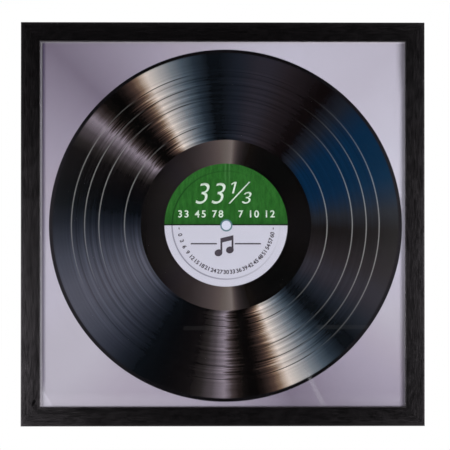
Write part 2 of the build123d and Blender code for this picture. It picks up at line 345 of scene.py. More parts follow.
sheet_cells = 120
sheet = bmesh.new()
bmesh.ops.create_grid(sheet, x_segments=sheet_cells, y_segments=sheet_cells, size=insert_half)
bmesh.ops.rotate(sheet, verts=sheet.verts, matrix=Matrix.Rotation(math.pi / 2, 3, "X"))
faces = list(sheet.faces)
raised = bmesh.ops.extrude_face_region(sheet, geom=faces)["geom"]
back_side = [item for item in raised if isinstance(item, bmesh.types.BMVert)]
bmesh.ops.translate(sheet, verts=back_side, vec=(0, paper_thickness, 0))
for corner in sheet.verts:
    corner.co.y -= paper_rise(corner.co.x, corner.co.z)
front = Vector((insert_middle.x, paper_back - paper_thickness, insert_middle.z))
bmesh.ops.translate(sheet, verts=sheet.verts, vec=front)
bmesh.ops.recalc_face_normals(sheet, faces=sheet.faces)


def keep(shape, name, finishes):
    """Turns a bmesh into a piece of the scene."""
    mesh = bpy.data.meshes.new(name)
    shape.to_mesh(mesh)
    shape.free()
    for finish in finishes:
        mesh.materials.append(finish)
    piece = bpy.data.objects.new(name, mesh)
    bpy.context.scene.collection.objects.link(piece)
    return piece


# The picture's parts, in millimetres. The sheet is a little bowed, so the larger circles lie lower
# and further left than the label: by disc_bow times the square of their radius.
disc_place = (0.62, 0.92)
disc_bow = (-0.000036, -0.000022)
disc_radius = 147.0
rim_width = 2.9
track_gaps = (84.6, 105.8, 117.6, 128.5)
gap_half_width = 0.65
run_out_radius = 71.3
label_radius = 51.35
label_line_radius = 45.1
hole_place = (0.14, -0.29)
hole_radius = 3.85
soft = 0.5  # the printed edges' softness
painted_curl_shade_width = 3.2
crease_slope = 1.6
crease_height = 14.6  # up the sheet's left edge
# Two faint painted glints: the middle of each, from the sheet's middle, and half its length
glint_lines = (((-19.8, -85.1), 16.8), ((97.5, -84.3), 23.0))

inks = {
    "black": (4, 3, 3),
    "jet": (5, 6, 9),
    "blue black": (11, 15, 20),
    "soot": (10, 8, 10),
    "warm soot": (18, 15, 16),
    "brown black": (15, 12, 11),
    "night": (26, 30, 39),
    "petrol": (16, 32, 52),
    "navy": (5, 34, 61),
    "midnight": (8, 12, 17),
    "smoke": (12, 7, 8),
    "warm grey": (34, 29, 33),
    "cool grey": (40, 38, 46),
    "deep slate": (46, 49, 60),
    "slate shade": (63, 66, 78),
    "slate": (79, 80, 92),
    "charcoal": (40, 36, 36),
    "dusk": (77, 70, 75),
    "lavender": (131, 121, 132),
    "mauve": (114, 104, 113),
    "plum": (65, 56, 57),
    "umber": (32, 25, 24),
    "coffee": (23, 17, 16),
    "brown": (47, 36, 33),
    "chestnut": (76, 58, 51),
    "bronze": (125, 103, 87),
    "tan": (188, 171, 159),
    "cream": (208, 196, 189),
    "silver": (192, 183, 179),
    "pewter": (161, 159, 160),
    "steel": (113, 119, 127),
    "blue steel": (70, 81, 92),
    "dark steel": (37, 46, 56),
}


def sweep(tree, turn, tones, palette):
    """Colours by an angle: tones are (degrees, ink)."""
    made = tree.nodes.new("ShaderNodeValToRGB")
    stops = made.color_ramp.elements
    start, end = tones[0][0], tones[-1][0]
    feed(tree, made.inputs[0], fade(tree, turn, start, end))
    for degrees, ink in tones[1:-1]:
        stops.new((degrees - start) / (end - start)).color = linear(*palette[ink])
    stops[0].color = linear(*palette[tones[0][1]])
    stops[-1].color = linear(*palette[tones[-1][1]])
    return made.outputs[0]


# The sheen on the grooves is the same on both sides of an axis that runs from lower left to upper
# right. Both lists go by the angle from the axis's lower left end.
groove_axis = 205.3
near_sheen = [
    (0, "slate"),
    (4, "slate"),
    (14, "slate shade"),
    (20, "deep slate"),
    (26.5, "night"),
    (33, "midnight"),
    (40, "jet"),
    (47, "soot"),
    (52.5, "warm soot"),
    (56, "charcoal"),
    (60, "dusk"),
    (64.3, "lavender"),
    (65.2, "mauve"),
    (67, "plum"),
    (69.2, "umber"),
    (71, "brown black"),
    (73.2, "black"),
    (75.6, "black"),
    (78, "coffee"),
    (80, "brown"),
    (82, "chestnut"),
    (84, "bronze"),
    (86.1, "tan"),
    (87.4, "cream"),
    (89.2, "silver"),
    (92, "pewter"),
]
far_sheen = [
    (92, "pewter"),
    (96, "steel"),
    (100, "blue steel"),
    (104, "dark steel"),
    (109, "blue black"),
    (113, "blue black"),
    (120, "night"),
    (127, "cool grey"),
    (131, "cool grey"),
    (138, "warm grey"),
    (150, "smoke"),
    (153, "smoke"),
    (160, "night"),
    (165, "petrol"),
    (171, "navy"),
    (180, "navy"),
]
wax_inks = {
    "black": (6, 6, 6),
    "soot": (10, 8, 8),
    "coal": (11, 9, 9),
    "haze": (15, 13, 14),
    "ember": (19, 15, 13),
    "dark ash": (20, 18, 19),
    "ash": (26, 23, 23),
    "stone ash": (31, 27, 30),
    "earth": (42, 36, 37),
    "clay": (57, 50, 51),
    "pebble": (72, 63, 63),
    "stone": (88, 77, 76),
    "pale stone": (100, 92, 88),
    "glint": (114, 104, 102),
}
# The smooth wax's sheen is the same above and below, and goes by the angle from the left
wax_sheen = [
    (0, "dark ash"),
    (30, "ash"),
    (46, "stone ash"),
    (60, "earth"),
    (70, "clay"),
    (78, "pebble"),
    (85, "stone"),
    (90, "pale stone"),
    (94.3, "glint"),
    (95.1, "pale stone"),
    (95.9, "stone"),
    (97.1, "pebble"),
    (98.4, "clay"),
    (100.8, "earth"),
    (104, "ash"),
    (107, "ember"),
    (113, "coal"),
    (127, "black"),
    (142, "black"),
    (157, "soot"),
    (172, "haze"),
    (180, "haze"),
]
metal_inks = {
    "glare": (205, 202, 218),
    "bright": (200, 197, 213),
    "pale": (194, 190, 207),
    "light": (189, 184, 200),
    "soft": (185, 180, 194),
    "mild": (179, 173, 190),
    "slack": (172, 164, 180),
    "middle": (163, 155, 173),
    "dull": (151, 143, 161),
    "dim": (136, 127, 145),
    "shade": (121, 112, 130),
}
upper_metal = [
    (0, "bright"),
    (18, "glare"),
    (24, "bright"),
    (46, "light"),
    (68, "pale"),
    (84, "light"),
    (93, "mild"),
    (103, "slack"),
    (111, "middle"),
    (119, "dull"),
    (127.5, "dim"),
    (134, "shade"),
    (140, "dim"),
    (148, "dull"),
    (158, "middle"),
    (168, "slack"),
    (180, "mild"),
]
lower_metal = [
    (180, "mild"),
    (188, "light"),
    (205, "light"),
    (214, "soft"),
    (224, "soft"),
    (238, "slack"),
    (260, "middle"),
    (276, "dull"),
    (285, "dim"),
    (291, "shade"),
    (300, "dim"),
    (309, "dull"),
    (317, "middle"),
    (323, "slack"),
    (332, "soft"),
    (339, "light"),
    (345, "pale"),
    (360, "bright"),
]


def long_sweep(tree, turn, first, second, palette):
    """Two sweeps, one after the other."""
    later = maths(tree, "GREATER_THAN", turn, second[0][0])
    return blend(tree, later, sweep(tree, turn, first, palette), sweep(tree, turn, second, palette))


def angle_between(tree, turn, axis):
    """How far an angle is from an axis, 0 to 180."""
    off = maths(tree, "ABSOLUTE", maths(tree, "SUBTRACT", turn, axis))
    return maths(tree, "MINIMUM", off, maths(tree, "SUBTRACT", 360.0, off))


def disc(tree, radius, edge, softness=soft):
    """1 within an edge and 0 outside it."""
    return fade(tree, radius, edge - softness / 2, edge + softness / 2, 1.0, 0.0)


def ring(tree, radius, middle, half_width):
    """1 on a thin circle, fading out to each side."""
    off = maths(tree, "ABSOLUTE", maths(tree, "SUBTRACT", radius, middle))
    return fade(tree, off, half_width * 0.35, half_width, 1.0, 0.0)


def from_point(tree, x, z, point):
    """Distance across the sheet from one point of the picture."""
    there = shader(tree, "CombineXYZ", point[0], 0.0, point[1]).outputs[0]
    here = shader(tree, "CombineXYZ", x, 0.0, z).outputs[0]
    return shader(tree, "VectorMath", here, there, operation="DISTANCE").outputs["Value"]


print_finish, tree, surface = new_finish("printed paper", Specular_IOR_Level=0.2)
place = millimetres(tree, insert_middle)
sheet_x, _, sheet_z = shader(tree, "SeparateXYZ", place).outputs
disc_middle = (disc_place[0], 0, disc_place[1])
on_disc = shader(tree, "VectorMath", place, disc_middle, operation="SUBTRACT").outputs[0]
square = shader(tree, "VectorMath", on_disc, on_disc, operation="DOT_PRODUCT").outputs["Value"]
bow_direction = (disc_bow[0], 0, disc_bow[1])
bow = shader(tree, "VectorMath", bow_direction, None, None, square, operation="SCALE").outputs[0]
on_disc = shader(tree, "VectorMath", on_disc, bow, operation="SUBTRACT").outputs[0]
x, y, z = shader(tree, "SeparateXYZ", on_disc).outputs
radius = from_point(tree, x, z, (0.0, 0.0))
turn = maths(tree, "DEGREES", maths(tree, "ARCTAN2", z, x))
turn = maths(tree, "FLOORED_MODULO", turn, 360.0)

# The ground: brushed metal with a soft conical sheen
metal = long_sweep(tree, turn, upper_metal, lower_metal, metal_inks)
brushed = cloud(tree, stretched(tree, place, (1.0, 1.0, 0.05)), 1.6, 3.0, 0.7)
cross_brushed = cloud(tree, stretched(tree, place, (0.05, 1.0, 1.0)), 1.6, 3.0, 0.7)
cross_brush = fade(tree, cross_brushed, 0.2, 0.8, -0.02, 0.02)
brush = maths(tree, "ADD", fade(tree, brushed, 0.2, 0.8, 0.97, 1.03), cross_brush)
picture = blend(tree, 1.0, metal, grey(tree, brush), "MULTIPLY")

# The grooves: the dark tails of their sheen are torn into fine arcs, finer ones streak the rest, and
# the band outside the last gap is calm. They lighten towards the rim at the sides.
from_axis = angle_between(tree, turn, groove_axis)
calm = fade(tree, radius, track_gaps[-1] + 1.5, track_gaps[-1] + 4.5, 1.0, 0.15)
coarse = cloud(tree, radius, 0.2, 2.0, 0.6, "1D")
fine = cloud(tree, maths(tree, "ADD", radius, 300.0), 0.5, 4.0, 0.65, "1D")
torn = fade(tree, from_axis, 61.0, 66.0, 0.3, 1.0)
torn = maths(tree, "MINIMUM", torn, fade(tree, from_axis, 83.0, 87.0, 1.0, 0.2))
from_tail = maths(tree, "ABSOLUTE", maths(tree, "SUBTRACT", from_axis, 76.0))
torn = maths(tree, "MAXIMUM", torn, fade(tree, from_tail, 14, 28, 0.2, 0.7))
torn = maths(tree, "MULTIPLY", torn, calm)
tear = fade(tree, fine, 0.25, 0.75, -2.7, 2.7)
tear = maths(tree, "ADD", tear, fade(tree, coarse, 0.25, 0.75, -1.1, 1.1))
torn_angle = maths(tree, "ADD", from_axis, maths(tree, "MULTIPLY", tear, torn))
grooves = long_sweep(tree, torn_angle, near_sheen, far_sheen, inks)
streaks = cloud(tree, maths(tree, "ADD", radius, 700.0), 0.42, 2.0, 0.6, "1D")
streaks = fade(tree, streaks, 0.3, 0.7, -0.34, 0.3)
even = fade(tree, angle_between(tree, turn, 0.0), 20.0, 60.0, 0.4, 1.0)
streaks = maths(tree, "MULTIPLY", streaks, maths(tree, "MULTIPLY", calm, even))
grooves = blend(tree, 1.0, grooves, grey(tree, maths(tree, "ADD", streaks, 1.0)), "MULTIPLY")
from_right = angle_between(tree, turn, 0.0)
from_left = angle_between(tree, turn, 173.0)
pale_right = fade(tree, from_right, 8.0, 42.0, 0.015, 0.0)
pale_left = fade(tree, from_left, 13.0, 25.0, 0.006, 0.0)
outward = maths(tree, "POWER", fade(tree, radius, run_out_radius, disc_radius), 2.0)
outward = maths(tree, "MULTIPLY", outward, maths(tree, "MAXIMUM", pale_right, pale_left))
in_blue = fade(tree, angle_between(tree, turn, 27.0), 10.0, 22.0, 1.0, 0.0)
lightening = blend(tree, in_blue, (1, 1, 1, 1), (0.3, 0.8, 1.0, 1))
lightening = blend(tree, 1.0, lightening, grey(tree, outward), "MULTIPLY")
grooves = blend(tree, 1.0, grooves, lightening, "ADD")
veil = fade(tree, angle_between(tree, turn, 350.0), 14.0, 32.0, 0.005, 0.0)
grooves = blend(tree, 1.0, grooves, grey(tree, veil), "ADD")

# The gaps between tracks: pale lines at the two sides and dark ones over the bright sheen
gap = None
for gap_radius in track_gaps:
    line = ring(tree, radius, gap_radius, gap_half_width)
    gap = line if gap is None else maths(tree, "MAXIMUM", gap, line)
lit_right = fade(tree, angle_between(tree, turn, 358.0), 0.0, 62.0, 1.0, 0.0, "SMOOTHSTEP")
lit_left = fade(tree, angle_between(tree, turn, 166.0), 12.0, 40.0, 0.78, 0.0)
lit_tail = fade(tree, angle_between(tree, turn, 131.0), 2.0, 7.0, 0.25, 0.0)
lit = maths(tree, "MAXIMUM", maths(tree, "MAXIMUM", lit_right, lit_left), lit_tail)
shading = None
# From the sheen's axis, in degrees: the middle of each dark stretch, where its full strength ends
# and where it's gone, and then the strength
shades = ((90.0, 7.0, 14.0, 0.8), (60.0, 6.0, 11.0, 0.6), (128.0, 8.0, 19.0, 0.35))
for middle, full, gone, strength in shades:
    off = maths(tree, "ABSOLUTE", maths(tree, "SUBTRACT", from_axis, middle))
    share = fade(tree, off, full, gone, strength, 0.0)
    shading = share if shading is None else maths(tree, "MAXIMUM", shading, share)
shaded = maths(tree, "MULTIPLY", gap, shading)
shaded = maths(tree, "MULTIPLY", shaded, maths(tree, "SUBTRACT", 1.0, lit))
grooves = blend(tree, 1.0, grooves, grey(tree, maths(tree, "SUBTRACT", 1.0, shaded)), "MULTIPLY")
gleam = maths(tree, "MULTIPLY", maths(tree, "MULTIPLY", gap, lit), 0.2)
grooves = blend(tree, 1.0, grooves, grey(tree, gleam), "ADD")

# The rim, paler at the two sides; on the right it and the disc's edge lie a little further out
drawn = fade(tree, angle_between(tree, turn, 10.0), 22.0, 48.0, 0.75, 0.0)
rim_radius = maths(tree, "SUBTRACT", radius, drawn)
beside = maths(tree, "MINIMUM", angle_between(tree, turn, 2.0), angle_between(tree, turn, 190.0))
rim = blend(tree, fade(tree, beside, 8.0, 55.0, 1.0, 0.0), linear(16, 15, 18), linear(38, 36, 40))
picture = blend(tree, disc(tree, rim_radius, disc_radius), picture, rim)
picture = blend(tree, disc(tree, rim_radius, disc_radius - rim_width, 0.9), picture, grooves)

# The smooth run-out, darker outwards on the left
from_wax_axis = angle_between(tree, turn, 180.0)
wax = sweep(tree, from_wax_axis, wax_sheen, wax_inks)
wax_fall = fade(tree, radius, label_radius + 4, run_out_radius - 2, 0.35, -0.35)
wax_fall = maths(tree, "MULTIPLY", wax_fall, fade(tree, from_wax_axis, 40.0, 85.0, 1.0, 0.0))
wax = blend(tree, 1.0, wax, grey(tree, maths(tree, "ADD", wax_fall, 1.0)), "MULTIPLY")
picture = blend(tree, disc(tree, radius, run_out_radius), picture, wax)

# The label's two halves, its pressed ring, its divider and the spindle hole
weave = cloud(tree, place, 1.5, 4.0, 0.7)
mottle = cloud(tree, stretched(tree, place, (1.0, 1.0, 0.25)), 0.35, 4.0, 0.7)
green_half = blend(tree, fade(tree, mottle, 0.3, 0.7), linear(30, 81, 29), linear(51, 111, 47))
green_half = blend(tree, fade(tree, z, 0.0, 11.0, 0.35, 0.0), green_half, linear(27, 64, 26))
for streak in (-0.6, 2.7):
    paler = maths(tree, "MULTIPLY", ring(tree, x, streak, 1.0), fade(tree, z, 22.0, 46.0, 0.0, 0.12))
    green_half = blend(tree, paler, green_half, linear(130, 176, 128))
above = fade(tree, z, -0.15, 0.15)
label = blend(tree, above, linear(203, 202, 217), green_half)
line = ring(tree, radius, label_line_radius, 0.85)
pressed = fade(tree, angle_between(tree, turn, 200.0), 45.0, 140.0, 0.8, 0.08)
line_colour = blend(tree, above, linear(120, 118, 136), linear(22, 60, 24))
label = blend(tree, maths(tree, "MULTIPLY", line, pressed), label, line_colour)
divider = fade(tree, maths(tree, "ABSOLUTE", maths(tree, "SUBTRACT", z, 0.3)), 0.35, 0.8, 1.0, 0.0)
label = blend(tree, divider, label, linear(20, 34, 24))
from_hole = from_point(tree, x, z, hole_place)
label = blend(tree, ring(tree, from_hole, hole_radius + 0.5, 1.1), label, linear(88, 122, 132))
label = blend(tree, disc(tree, from_hole, hole_radius), label, linear(212, 216, 234))
picture = blend(tree, disc(tree, radius, label_radius), picture, label)

# The sheet's left edge is painted dark, a painted shade where it curls away, its lower left corner has a
# crease painted pale as a highlight, its bottom edge a thin pale margin that is partly painted light, and a
# painted shadow of the lip makes it a little darker beside the right lip and at the upper right
sheet_half = insert_half * MM
from_left_cut = maths(tree, "ADD", sheet_x, sheet_half)
# Painted shade along the left edge, where the lip's shadow and the curl darken it
painted_curl_shade = fade(tree, from_left_cut, 0.0, painted_curl_shade_width, 1.0, 0.0)
painted_curl_shade = maths(tree, "MULTIPLY", painted_curl_shade, fade(tree, sheet_z, -150.0, 150.0, 0.62, 0.84))
painted_curl_shade = maths(tree, "MULTIPLY", painted_curl_shade, fade(tree, sheet_z, -139.0, -128.0))
picture = blend(tree, painted_curl_shade, picture, linear(68, 57, 90))
from_bottom_cut = maths(tree, "ADD", sheet_z, sheet_half)
diagonal = maths(tree, "ADD", maths(tree, "MULTIPLY", from_left_cut, crease_slope), from_bottom_cut)
# The lifted lower left corner and its crease are painted pale, a painted highlight
corner = fade(tree, diagonal, crease_height - 1.4, crease_height + 2.6, 0.3, 0.0)
from_crease = maths(tree, "ABSOLUTE", maths(tree, "SUBTRACT", diagonal, crease_height))
crease_highlight = fade(tree, from_crease, 0.5, 3.0, 0.4, 0.0)
crease_highlight = maths(tree, "MULTIPLY", crease_highlight, fade(tree, from_bottom_cut, 18.0, 13.0))
picture = blend(tree, maths(tree, "MAXIMUM", corner, crease_highlight), picture, linear(232, 229, 243))
# A pale margin along the bottom edge: partly unprinted paper, partly painted light against the lower lip's
# shade
margin_and_highlight = fade(tree, from_bottom_cut, 3.0, 14.0, 1.0, 0.0)
from_dark_end = maths(tree, "ABSOLUTE", maths(tree, "SUBTRACT", sheet_x, 70.0))
margin_and_highlight = maths(tree, "MULTIPLY", margin_and_highlight, fade(tree, from_dark_end, 15.0, 210.0, 0.05, 0.27))
margin_and_highlight = maths(tree, "MULTIPLY", margin_and_highlight, fade(tree, rim_radius, disc_radius, disc_radius + soft))
picture = blend(tree, margin_and_highlight, picture, linear(236, 230, 244))
# Painted shade of the right lip's shadow along the right edge and at the upper right
from_middle = maths(tree, "ABSOLUTE", maths(tree, "ADD", sheet_z, 15.0))
painted_lip_shade = fade(tree, sheet_x, 147.6, 149.0, 0.0, fade(tree, from_middle, 15.0, 70.0, 0.05, 0.3))
upper_right_shade = maths(tree, "MULTIPLY", fade(tree, sheet_x, 142.0, 146.0), fade(tree, sheet_z, 105.0, 135.0))
painted_lip_shade = maths(tree, "MAXIMUM", painted_lip_shade, maths(tree, "MULTIPLY", upper_right_shade, 0.3))
picture = blend(tree, painted_lip_shade, picture, linear(0, 0, 0))

# The painted glints, light added to the print, lie level across the lower grooves
for (across, up), half_length in glint_lines:
    above_glint = maths(tree, "ABSOLUTE", maths(tree, "SUBTRACT", sheet_z, up))
    along_glint = maths(tree, "ABSOLUTE", maths(tree, "SUBTRACT", sheet_x, across))
    glint = fade(tree, above_glint, 1.2, 2.1, 0.006, 0.0)
    glint = maths(tree, "MULTIPLY", glint, fade(tree, along_glint, half_length - 3.0, half_length, 1.0, 0.0))
    picture = blend(tree, 1.0, picture, grey(tree, glint), "ADD")
feed(tree, surface.inputs["Base Color"], picture)
feed(tree, surface.inputs["Roughness"], fade(tree, brushed, 0.2, 0.8, 0.1, 0.14))
roughen(tree, surface, weave, 0.00001, 0.2)
paper = keep(sheet, "printed_sheet", [print_finish])
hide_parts("printed_insert")
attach(paper, "frame")

# The label's figures and marks, a film of ink on the paper: plain numbers, a scale round the lower
# half, and a pair of quavers between two rules.
ink_front = paper_back - paper_thickness - 0.00006
ink_thickness = 0.00005


def place_ink(shape, verts, turn, spot):
    """Turns flat marks, drawn in millimetres, and stands them on their spot of the label."""
    size = Matrix.Diagonal((1 / MM, 1 / MM, 1, 1))
    stand = Matrix.Rotation(math.pi / 2, 4, "X")
    across, up = ((disc_place[axis] + spot[axis]) / MM for axis in (0, 1))
    there = Matrix.Translation((insert_middle.x + across, ink_front, insert_middle.z + up))
    bmesh.ops.transform(
        shape, matrix=there @ stand @ Matrix.Rotation(turn, 4, "Z") @ size, verts=verts
    )


def add_figures(shape, text, height, spot, turn=0.0, slant=0.0, spacing=1.0, weight=0.0):
    """Plain numbers, centred on their spot."""
    curve = bpy.data.curves.new("figures", "FONT")
    curve.body = text
    curve.size = height / 0.7
    curve.align_x, curve.align_y = "CENTER", "CENTER"
    curve.shear, curve.space_character, curve.offset = slant, spacing, weight
    curve.resolution_u = 6
    writing = bpy.data.objects.new("figures", curve)
    flat = bpy.data.meshes.new_from_object(writing)
    before = len(shape.verts)
    shape.from_mesh(flat)
    shape.verts.ensure_lookup_table()
    place_ink(shape, shape.verts[before:], turn, spot)
    bpy.data.objects.remove(writing)
    bpy.data.curves.remove(curve)
    bpy.data.meshes.remove(flat)


def add_bar(shape, width, height, spot, turn=0.0, lean=0.0):
    """A rectangle, whose right end may stand higher than its left."""
    corners = bmesh.ops.create_grid(shape, x_segments=1, y_segments=1, size=0.5)["verts"]
    for corner in corners:
        corner.co.y = corner.co.y * height + corner.co.x * lean
        corner.co.x *= width
    place_ink(shape, corners, turn, spot)


def add_head(shape, width, height, spot, turn):
    """A note's oval head."""
    oval = bmesh.ops.create_circle(shape, cap_ends=True, segments=36, radius=0.5)["verts"]
    bmesh.ops.scale(shape, vec=(width, height, 1), verts=oval)
    place_ink(shape, oval, turn, spot)


def thicken(shape):
    """Gives flat marks the thickness of the ink."""
    bmesh.ops.remove_doubles(shape, verts=shape.verts, dist=0.000002)
    bmesh.ops.recalc_face_normals(shape, faces=shape.faces)
    raised = bmesh.ops.extrude_face_region(shape, geom=list(shape.faces))["geom"]
    moved = [item for item in raised if isinstance(item, bmesh.types.BMVert)]
    bmesh.ops.translate(shape, verts=moved, vec=(0, ink_thickness, 0))
    bmesh.ops.recalc_face_normals(shape, faces=shape.faces)


def ink_finish(name, dark, light):
    """Opaque ink that lets a little of the paper's tooth through."""
    made, tree, surface = new_finish(name, Specular_IOR_Level=0.25)
    tooth = cloud(tree, millimetres(tree), 2.2, 4.0, 0.7)
    feed(tree, surface.inputs["Base Color"], blend(tree, tooth, linear(*dark), linear(*light)))
    feed(tree, surface.inputs["Roughness"], fade(tree, tooth, 0.3, 0.7, 0.2, 0.34))
    roughen(tree, surface, tooth, 0.00001, 0.3)
    return made


pale_marks = bmesh.new()
add_figures(pale_marks, "33\u2153", 17.8, (-3.4, 25.4), slant=0.25, spacing=1.05, weight=-0.22)
add_figures(pale_marks, "33 45 78", 5.8, (-21.4, 9.0), spacing=1.3, weight=0.17)
add_figures(pale_marks, "7 10 12", 5.8, (25.4, 9.0), spacing=1.22, weight=0.17)
thicken(pale_marks)

dark_marks = bmesh.new()
add_head(dark_marks, 6.6, 5.8, (-6.4, -23.2), 0.3)
add_head(dark_marks, 6.6, 5.8, (3.1, -20.8), 0.3)
add_bar(dark_marks, 1.6, 11.0, (-4.0, -17.3))
add_bar(dark_marks, 1.6, 11.0, (5.3, -14.8))
add_bar(dark_marks, 10.9, 3.9, (0.65, -11.7), lean=2.6)
for rule_middle in (-18.6, 18.1):
    add_bar(dark_marks, 21.8, 1.15, (rule_middle, -15.6))
scale_radius = 39.4
scale_start, scale_end = math.radians(192), math.radians(348)
scale_steps = 20
for step in range(-1, scale_steps + 2):
    turn = scale_start + (scale_end - scale_start) * step / scale_steps
    spot = (scale_radius * math.cos(turn), scale_radius * math.sin(turn))
    if 0 <= step <= scale_steps:
        add_figures(dark_marks, str(3 * step), 3.3, spot, turn=turn + math.pi / 2, weight=0.14)
    else:
        add_bar(dark_marks, 0.8, 1.6, spot, turn=turn)
thicken(dark_marks)

for shape, name, dark, light in (
    (pale_marks, "label_figures", (214, 232, 216), (226, 240, 228)),
    (dark_marks, "label_marks", (56, 50, 59), (78, 71, 81)),
):
    marks = keep(shape, name, [ink_finish(name.replace("_", " "), dark, light)])
    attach(marks, "frame")

# Filler board: a foam-cored board with white paper faces that takes up the room of a record sleeve.
# Its front shows as a pale strip along the left and the top of the opening, with painted shade greying it
# towards the upper left, painted light and shade down the left strip, and a painted shadow line along the
# print's edge.
filler_low, filler_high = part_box("filler_board")
skin_depth = 0.3
filler, tree, surface = new_finish("white filler board", Specular_IOR_Level=0.3)
place = millimetres(tree)
strands = effect(tree, fibres, place, 1.2)[0]
patches, specks, scratches = effect(tree, handling, place, 18.0)
skin = blend(tree, strands, linear(172, 167, 178), linear(182, 177, 188))
skin = blend(tree, maths(tree, "MULTIPLY", specks, 0.4), skin, linear(150, 146, 142))
corner = (filler_low.x * MM, 0, filler_high.z * MM)
from_corner = shader(tree, "VectorMath", place, corner, operation="DISTANCE").outputs["Value"]
# Painted shade: darker towards the upper left corner
painted_shading = fade(tree, from_corner, 15.0, 230.0, 0.5, 1.3)
x, y, z = shader(tree, "SeparateXYZ", place).outputs
lowered = maths(tree, "SUBTRACT", filler_high.z * MM, z)
# Painted light and shade down the left strip: darker at the top, lighter lower down
left_painted_shading = fade(tree, lowered, 20.0, 95.0, 0.93, 1.1)
left_painted_shading = maths(tree, "MULTIPLY", left_painted_shading, fade(tree, lowered, 265.0, 300.0, 0.97, 1.15))
left_painted_shading = maths(tree, "MULTIPLY", left_painted_shading, fade(tree, lowered, 294.0, 308.0, 1.0, 1.47))
on_left = maths(tree, "LESS_THAN", x, insert_low.x * MM + 0.5)
painted_shading = blend(tree, on_left, grey(tree, painted_shading), grey(tree, left_painted_shading))
# A painted shadow line along the print's edge
by_print = maths(tree, "ABSOLUTE", maths(tree, "SUBTRACT", x, insert_low.x * MM - 0.3))
painted_edge_shadow = fade(tree, by_print, 0.0, 0.8, 0.6, 0.0)
painted_edge_shadow = maths(tree, "MULTIPLY", painted_edge_shadow, fade(tree, lowered, 60.0, 220.0, 1.0, 0.0))
painted_shading = blend(tree, painted_edge_shadow, painted_shading, (0, 0, 0, 1))
skin = blend(tree, 1.0, skin, painted_shading, "MULTIPLY")
past_front = maths(tree, "GREATER_THAN", y, filler_low.y * MM + skin_depth)
core = maths(tree, "MULTIPLY", past_front, maths(tree, "LESS_THAN", y, filler_high.y * MM - skin_depth))
bubbles = cloud(tree, place, 3.0, 4.0, 0.8)
foam = blend(tree, bubbles, linear(212, 211, 206), linear(240, 239, 235))
feed(tree, surface.inputs["Base Color"], blend(tree, core, skin, foam))
feed(tree, surface.inputs["Roughness"], fade(tree, strands, 0.0, 1.0, 0.72, 0.84))
roughen(tree, surface, maths(tree, "ADD", strands, maths(tree, "MULTIPLY", bubbles, core)), 0.00003, 0.4)
dress("filler_board", filler)

# Back board: brown hardboard, smooth on its back, drilled for the hangers' rivets. The turn buttons
# have rubbed pale arcs into it where they sweep over its edge.
head_radius = 3.0
pivot_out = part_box("turn_button_screws")[1].x * MM - head_radius
pivot_along = 85.0  # from the middle of a rail to each of its two screws
flat_reach = 9.4  # from a screw to the end of its button's flat part
hardboard, tree, surface = new_finish("brown hardboard", Specular_IOR_Level=0.35)
place = millimetres(tree, (0, 0, middle_z))
x, y, z = shader(tree, "SeparateXYZ", place).outputs
strands = effect(tree, fibres, place, 1.1)[0]
patches, specks, scratches = effect(tree, handling, place, 26.0)
board = blend(tree, strands, linear(104, 74, 48), linear(146, 110, 76))
board = blend(tree, maths(tree, "MULTIPLY", patches, 0.45), board, linear(112, 80, 52))
board = blend(tree, maths(tree, "MULTIPLY", specks, 0.7), board, linear(62, 42, 28))
flecks = fade(tree, cloud(tree, place, 1.4, 2.0), 0.66, 0.72)
board = blend(tree, maths(tree, "MULTIPLY", flecks, 0.5), board, linear(182, 148, 108))
board = blend(tree, maths(tree, "MULTIPLY", scratches, 0.35), board, linear(176, 144, 108))
side_x, side_z = maths(tree, "ABSOLUTE", x), maths(tree, "ABSOLUTE", z)
out = maths(tree, "SUBTRACT", maths(tree, "MAXIMUM", side_x, side_z), pivot_out)
along = maths(tree, "SUBTRACT", maths(tree, "MINIMUM", side_x, side_z), pivot_along)
to_pivot = shader(tree, "CombineXYZ", out, along, 0.0).outputs[0]
from_pivot = shader(tree, "VectorMath", to_pivot, operation="LENGTH").outputs["Value"]
rubbed = fade(tree, from_pivot, flat_reach - 0.8, flat_reach, 1.0, 0.0)
rubbed = maths(tree, "MULTIPLY", rubbed, fade(tree, strands, 0.1, 0.6))
board = blend(tree, maths(tree, "MULTIPLY", rubbed, 0.4), board, linear(178, 147, 112))
feed(tree, surface.inputs["Base Color"], board)
feed(tree, surface.inputs["Roughness"], fade(tree, patches, 0.0, 1.0, 0.5, 0.66))
roughen(tree, surface, maths(tree, "SUBTRACT", strands, scratches), 0.00005, 0.4)
dress("back_board", hardboard)

# Turn buttons and their screws: punched from sheet steel and zinc plated, each on a pan-head screw
# with a cross recess. The buttons turn aside to let the back out.
bright_zinc = steel_finish("zinc plate", (132, 134, 140), (164, 166, 171), 0.3, 0.42, 5.0)
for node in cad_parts:
    if node.startswith("turn_button_") and node != "turn_button_screws":
        dress(node, bright_zinc)
screw_zinc = steel_finish("screw zinc", (118, 120, 126), (158, 160, 165), 0.26, 0.38, 2.0)
dress("turn_button_screws", screw_zinc)

# Ring hangers: a plate of sheet steel rolled round the bar of a wire ring, held to the back board by
# two rivets. The whole hanger is nickel plated.
nickel = steel_finish("nickel plate", (138, 134, 127), (168, 164, 157), 0.22, 0.34, 4.0)
for side in ("left", "right"):
    dress(f"hanger_plate_{side}", nickel)
    dress(f"hanger_ring_{side}", nickel)
dress("hanger_rivets", nickel)

